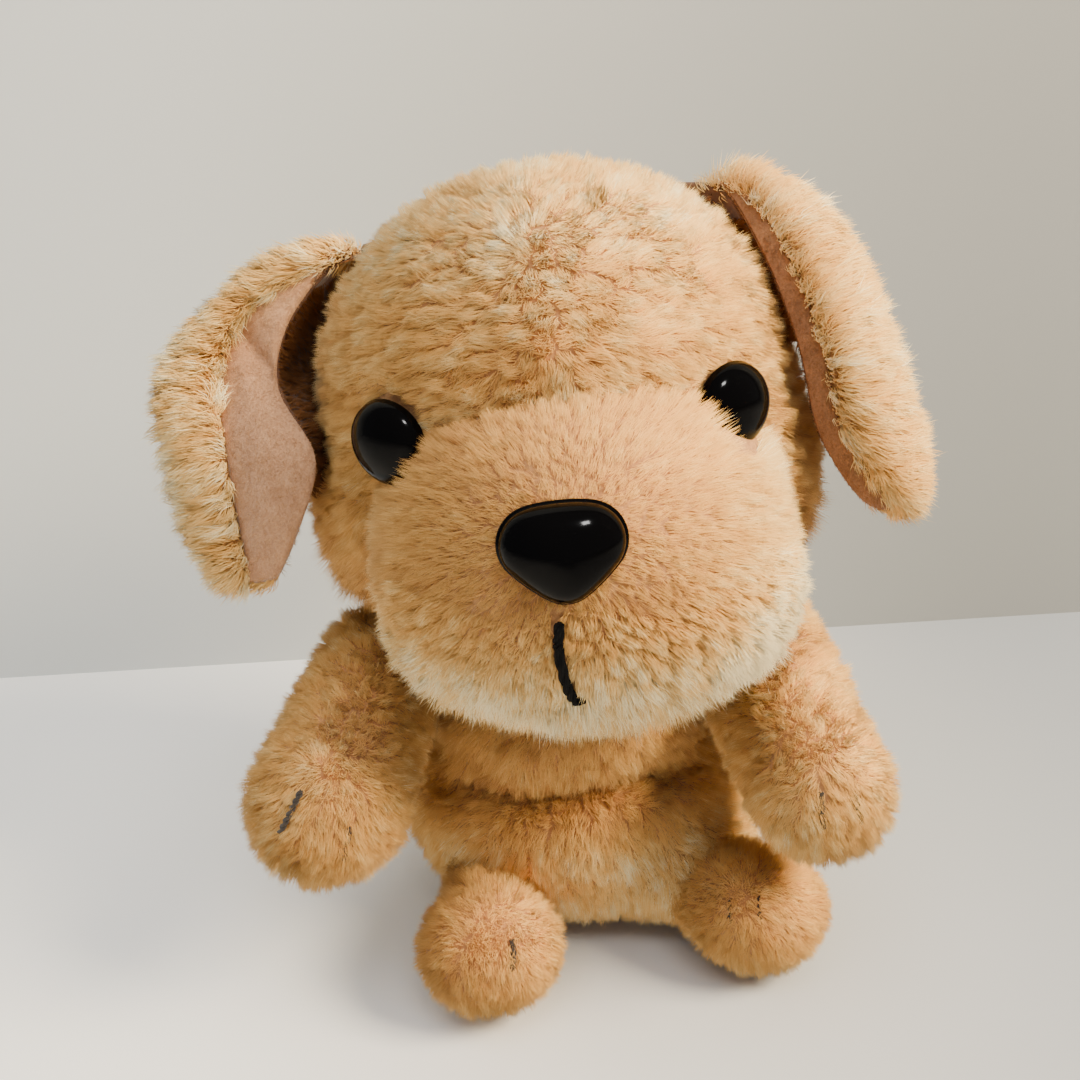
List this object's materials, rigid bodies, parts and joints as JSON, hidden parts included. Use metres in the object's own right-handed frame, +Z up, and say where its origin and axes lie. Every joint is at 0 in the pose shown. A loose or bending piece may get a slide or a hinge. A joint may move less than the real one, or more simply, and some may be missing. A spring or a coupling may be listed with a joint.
{
  "type": "plush dog",
  "caption": "Seated stuffed plush dog with loose ears, stubby sewn arms and legs, plastic safety eyes and nose, and a flat weighted seat.",
  "frame": {"origin": "on the floor, on the flat underside of the seat, 3 mm in front of its middle", "axes": "+Z up, the face looks along -Y, +X is the dog's own left"},
  "size_m": [0.1363, 0.1018, 0.1465],
  "materials": {
    "plush_tan": "dense golden tan pile, 3 to 5 mm",
    "plush_cream": "dense cream pile, longer at the rims",
    "velour_pink": "short pinkish beige nap",
    "wadding": "polyester fibre filling",
    "pellet_cloth": "plain woven bag of pellets",
    "black_thread": "embroidery thread",
    "brown_thread": "embroidery thread",
    "black_gloss": "polished",
    "washer_plastic": "moulded"
  },
  "bodies": {
    "torso": {"torso_front_panel": "plush_tan", "torso_back_panel": "plush_tan", "bottom_panel": "plush_tan", "torso_filling": "wadding", "pellet_bag": "pellet_cloth"},
    "neck": {"neck_filling": "plush_tan"},
    "head": {"head_left_panel": "plush_tan", "head_right_panel": "plush_tan", "muzzle_panel": "plush_tan", "chin_panel": "plush_cream", "head_filling": "wadding", "left_eye": "black_gloss", "right_eye": "black_gloss", "left_eye_washer": "washer_plastic", "right_eye_washer": "washer_plastic", "nose": "black_gloss", "nose_washer": "washer_plastic", "mouth_stitch": "black_thread"},
    "left_ear": {"left_ear_outer": "plush_tan", "left_ear_lining": "velour_pink"},
    "right_ear": {"right_ear_outer": "plush_tan", "right_ear_lining": "velour_pink"},
    "left_arm": {"left_arm_skin": "plush_tan", "left_arm_filling": "wadding", "left_paw_stitches": "brown_thread"},
    "right_arm": {"right_arm_skin": "plush_tan", "right_arm_filling": "wadding", "right_paw_stitches": "brown_thread"},
    "left_leg": {"left_leg_skin": "plush_tan", "left_leg_filling": "wadding", "left_foot_stitches": "brown_thread"},
    "right_leg": {"right_leg_skin": "plush_tan", "right_leg_filling": "wadding", "right_foot_stitches": "brown_thread"},
    "tail": {"tail_skin": "plush_tan", "tail_filling": "wadding"}
  },
  "joints": [
    {"name": "neck_turn", "type": "hinge", "parent": "torso", "child": "neck", "pos_m": [0, 0.003, 0.071], "axis": [0, 0, 1], "range_deg": [-12, 12], "stiffness_Nm_per_rad": 0.15},
    {"name": "head_nod", "type": "hinge", "parent": "neck", "child": "head", "pos_m": [0, 0.003, 0.071], "axis": [1, 0, 0], "range_deg": [-10, 4], "stiffness_Nm_per_rad": 0.3},
    {"name": "left_ear_swing", "type": "hinge", "parent": "head", "child": "left_ear", "pos_m": [0.0305, 0.007, 0.1353], "axis": [-0.677, 0, 0.736], "range_deg": [0, 45], "stiffness_Nm_per_rad": 0.01},
    {"name": "right_ear_swing", "type": "hinge", "parent": "head", "child": "right_ear", "pos_m": [-0.0342, 0.007, 0.1308], "axis": [-0.6141, 0, -0.7892], "range_deg": [0, 45], "stiffness_Nm_per_rad": 0.01},
    {"name": "left_arm_lift", "type": "hinge", "parent": "torso", "child": "left_arm", "pos_m": [0.036, -0.002, 0.0535], "axis": [-0.6363, -0.3081, 0.7073], "range_deg": [0, 40], "stiffness_Nm_per_rad": 0.03},
    {"name": "right_arm_lift", "type": "hinge", "parent": "torso", "child": "right_arm", "pos_m": [-0.036, -0.002, 0.0535], "axis": [-0.6169, 0.3859, -0.6859], "range_deg": [0, 40], "stiffness_Nm_per_rad": 0.03},
    {"name": "left_leg_splay", "type": "hinge", "parent": "torso", "child": "left_leg", "pos_m": [0.02, -0.015, 0.0125], "axis": [0, 0, 1], "range_deg": [-12, 8], "stiffness_Nm_per_rad": 0.02},
    {"name": "right_leg_splay", "type": "hinge", "parent": "torso", "child": "right_leg", "pos_m": [-0.017, -0.015, 0.0125], "axis": [0, 0, -1], "range_deg": [0, 14], "stiffness_Nm_per_rad": 0.02},
    {"name": "tail_wag", "type": "hinge", "parent": "torso", "child": "tail", "pos_m": [0, 0.0335, 0.012], "axis": [0, 0, 1], "range_deg": [-20, 20], "stiffness_Nm_per_rad": 0.003}
  ]
}
